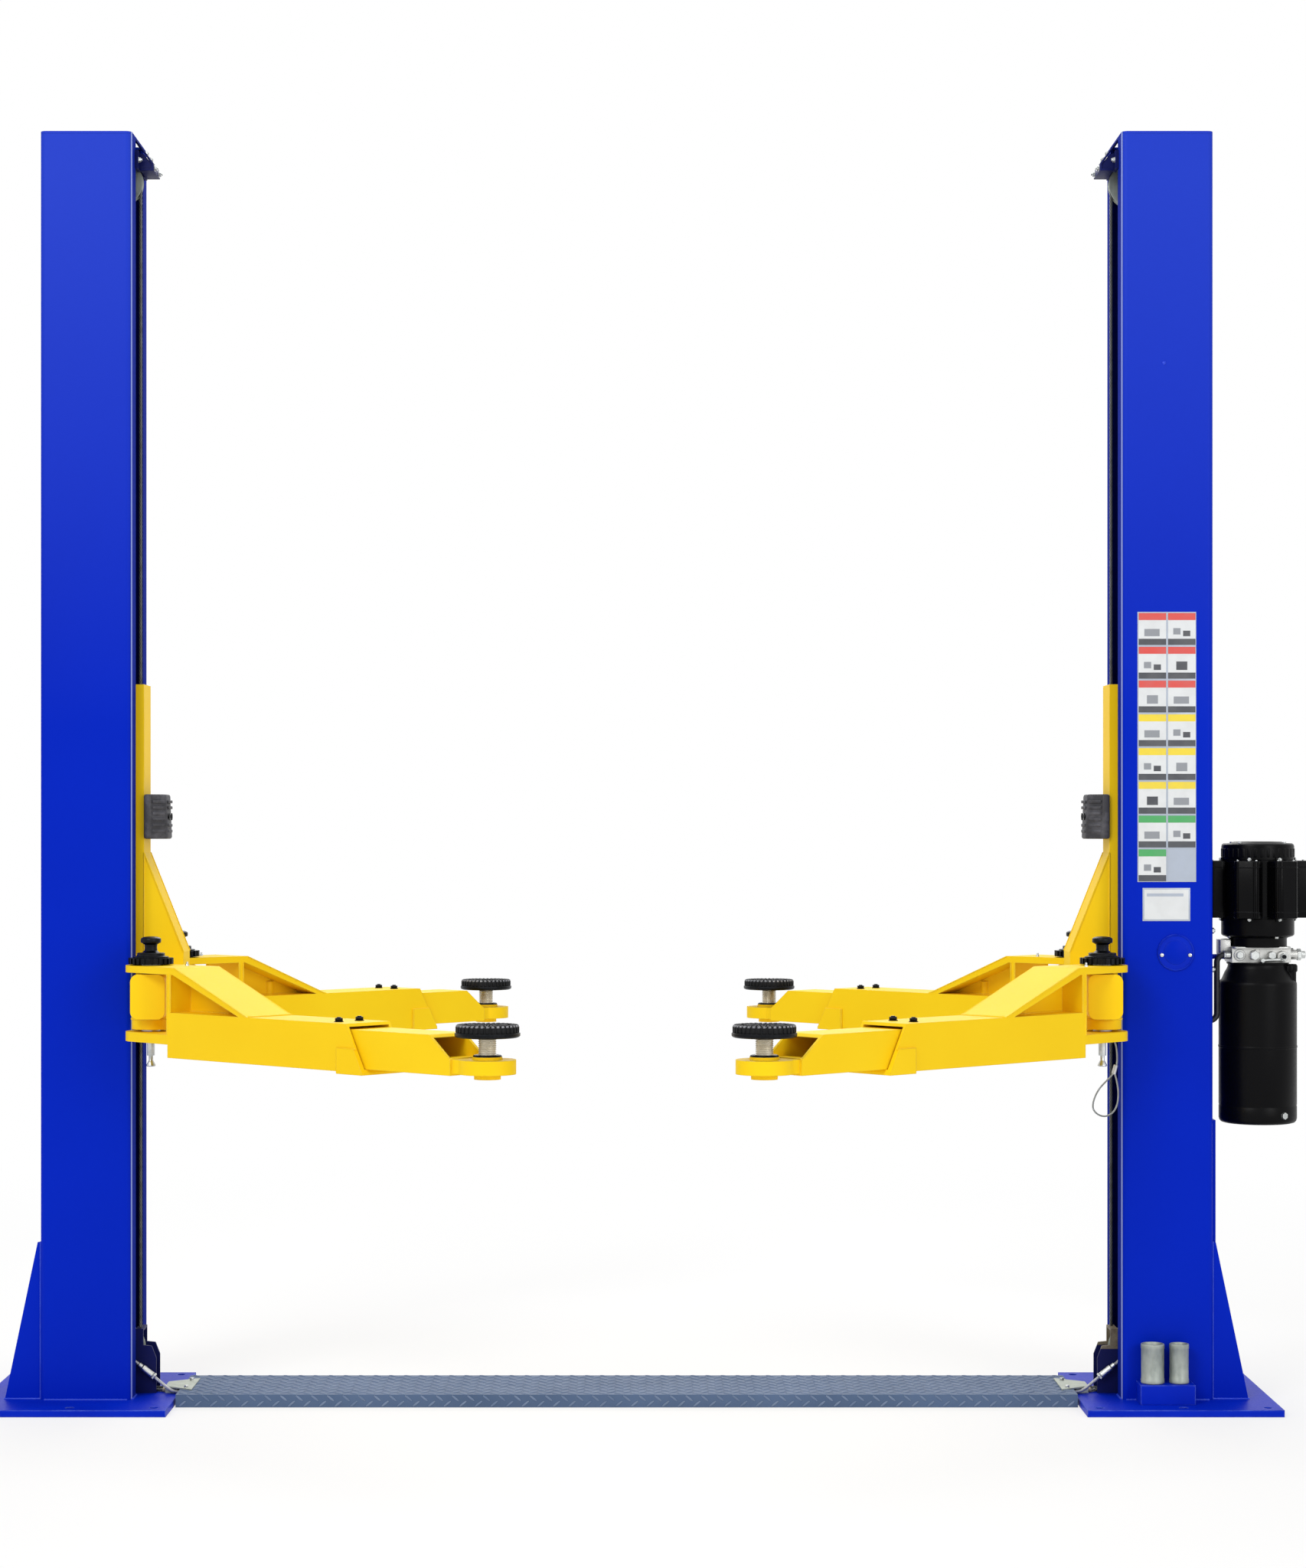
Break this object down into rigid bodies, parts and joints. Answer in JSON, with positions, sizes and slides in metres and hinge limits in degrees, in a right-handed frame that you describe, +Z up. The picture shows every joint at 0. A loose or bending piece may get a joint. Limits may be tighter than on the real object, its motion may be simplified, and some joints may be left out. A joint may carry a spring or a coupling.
{
  "type": "two post car lift",
  "caption": "Two post car lift: blue columns on base plates, yellow carriages with swinging telescopic arms and screw pads, floor cable cover and power unit.",
  "frame": {"origin": "on the floor, midway between the two columns and in their middle plane", "axes": "+X towards the column with the power unit, +Y to the rear, +Z up"},
  "size_m": [3.155, 2.0568, 3],
  "materials": {
    "blue_paint": "semi-gloss powder coat",
    "yellow_paint": "semi-gloss powder coat",
    "cover_plate": "painted tread plate",
    "dark_steel": "matt dark paint",
    "bare_steel": "machined, oiled",
    "zinc_steel": "zinc plated",
    "black_paint": "satin black",
    "cast_aluminium": "as cast and machined",
    "rubber": "ribbed moulded",
    "hose_rubber": "smooth",
    "nylon": "machined",
    "wire_rope": "stranded"
  },
  "bodies": {
    "frame": {"left_base_plate": "blue_paint", "right_base_plate": "blue_paint", "left_column": "blue_paint", "right_column": "blue_paint", "column_caps": "blue_paint", "base_gussets": "blue_paint", "floor_cover": "cover_plate", "cable_guards": "zinc_steel", "pulley_brackets": "dark_steel", "cable_pulleys": "zinc_steel", "equalizer_cables": "wire_rope", "lift_cylinders": "dark_steel", "inspection_covers": "blue_paint", "adapter_rack": "blue_paint", "height_adapters": "zinc_steel", "power_unit_bracket": "blue_paint", "motor": "black_paint", "capacitor_housings": "black_paint", "valve_block": "cast_aluminium", "oil_tank": "black_paint", "hydraulic_hose": "hose_rubber"},
    "left_lift": {"left_carriage": "yellow_paint", "left_slide_blocks": "nylon", "left_door_guard": "rubber", "left_arm_beam": "yellow_paint", "left_pivot_pins": "bare_steel"},
    "right_lift": {"right_carriage": "yellow_paint", "right_slide_blocks": "nylon", "right_door_guard": "rubber", "right_arm_beam": "yellow_paint", "right_pivot_pins": "bare_steel", "release_cable": "wire_rope"},
    "left_front_swing_arm": {"left_front_outer_arm": "yellow_paint"},
    "left_front_extension": {"left_front_inner_arm": "yellow_paint"},
    "left_front_pad_head": {"left_front_pad_screw": "bare_steel", "left_front_pad": "rubber"},
    "left_front_release": {"left_front_lock": "black_paint"},
    "left_rear_swing_arm": {"left_rear_outer_arm": "yellow_paint"},
    "left_rear_extension": {"left_rear_inner_arm": "yellow_paint"},
    "left_rear_pad_head": {"left_rear_pad_screw": "bare_steel", "left_rear_pad": "rubber"},
    "left_rear_release": {"left_rear_lock": "black_paint"},
    "right_front_swing_arm": {"right_front_outer_arm": "yellow_paint"},
    "right_front_extension": {"right_front_inner_arm": "yellow_paint"},
    "right_front_pad_head": {"right_front_pad_screw": "bare_steel", "right_front_pad": "rubber"},
    "right_front_release": {"right_front_lock": "black_paint"},
    "right_rear_swing_arm": {"right_rear_outer_arm": "yellow_paint"},
    "right_rear_extension": {"right_rear_inner_arm": "yellow_paint"},
    "right_rear_pad_head": {"right_rear_pad_screw": "bare_steel", "right_rear_pad": "rubber"},
    "right_rear_release": {"right_rear_lock": "black_paint"}
  },
  "joints": [
    {"name": "left_lift_slide", "type": "slide", "parent": "frame", "child": "left_lift", "axis": [0, 0, 1], "range_m": [-0.785, 0.93]},
    {"name": "right_lift_slide", "type": "slide", "parent": "frame", "child": "right_lift", "axis": [0, 0, 1], "range_m": [-0.785, 0.93], "deforming": ["release_cable"]},
    {"name": "left_front_swing", "type": "hinge", "parent": "left_lift", "child": "left_front_swing_arm", "pos_m": [-1.104, -0.215, 0.95], "axis": [0, 0, -1], "range_deg": [-42.4, 47.6]},
    {"name": "left_front_telescope", "type": "slide", "parent": "left_front_swing_arm", "child": "left_front_extension", "axis": [0.7385, -0.6743, 0], "range_m": [-0.244, 0.185]},
    {"name": "left_front_pad_height", "type": "slide", "parent": "left_front_extension", "child": "left_front_pad_head", "axis": [0, 0, 1], "range_m": [-0.035, 0.025]},
    {"name": "left_front_lock_lift", "type": "slide", "parent": "left_lift", "child": "left_front_release", "axis": [0, 0, 1], "range_m": [0, 0.018], "stiffness_N_per_m": 900, "springref_m": -0.012},
    {"name": "left_rear_swing", "type": "hinge", "parent": "left_lift", "child": "left_rear_swing_arm", "pos_m": [-1.104, 0.215, 0.95], "axis": [0, 0, 1], "range_deg": [-45.9, 44.1]},
    {"name": "left_rear_telescope", "type": "slide", "parent": "left_rear_swing_arm", "child": "left_rear_extension", "axis": [0.6959, 0.7181, 0], "range_m": [-0.176, 0.253]},
    {"name": "left_rear_pad_height", "type": "slide", "parent": "left_rear_extension", "child": "left_rear_pad_head", "axis": [0, 0, 1], "range_m": [-0.035, 0.025]},
    {"name": "left_rear_lock_lift", "type": "slide", "parent": "left_lift", "child": "left_rear_release", "axis": [0, 0, 1], "range_m": [0, 0.018], "stiffness_N_per_m": 900, "springref_m": -0.012},
    {"name": "right_front_swing", "type": "hinge", "parent": "right_lift", "child": "right_front_swing_arm", "pos_m": [1.104, -0.215, 0.95], "axis": [0, 0, 1], "range_deg": [-42.4, 47.6]},
    {"name": "right_front_telescope", "type": "slide", "parent": "right_front_swing_arm", "child": "right_front_extension", "axis": [-0.7385, -0.6743, 0], "range_m": [-0.244, 0.185]},
    {"name": "right_front_pad_height", "type": "slide", "parent": "right_front_extension", "child": "right_front_pad_head", "axis": [0, 0, 1], "range_m": [-0.035, 0.025]},
    {"name": "right_front_lock_lift", "type": "slide", "parent": "right_lift", "child": "right_front_release", "axis": [0, 0, 1], "range_m": [0, 0.018], "stiffness_N_per_m": 900, "springref_m": -0.012},
    {"name": "right_rear_swing", "type": "hinge", "parent": "right_lift", "child": "right_rear_swing_arm", "pos_m": [1.104, 0.215, 0.95], "axis": [0, 0, -1], "range_deg": [-45.9, 44.1]},
    {"name": "right_rear_telescope", "type": "slide", "parent": "right_rear_swing_arm", "child": "right_rear_extension", "axis": [-0.6959, 0.7181, 0], "range_m": [-0.176, 0.253]},
    {"name": "right_rear_pad_height", "type": "slide", "parent": "right_rear_extension", "child": "right_rear_pad_head", "axis": [0, 0, 1], "range_m": [-0.035, 0.025]},
    {"name": "right_rear_lock_lift", "type": "slide", "parent": "right_lift", "child": "right_rear_release", "axis": [0, 0, 1], "range_m": [0, 0.018], "stiffness_N_per_m": 900, "springref_m": -0.012}
  ],
  "couplings": [
    {"joint": "right_lift_slide", "follows": "left_lift_slide", "ratio": 1}
  ]
}
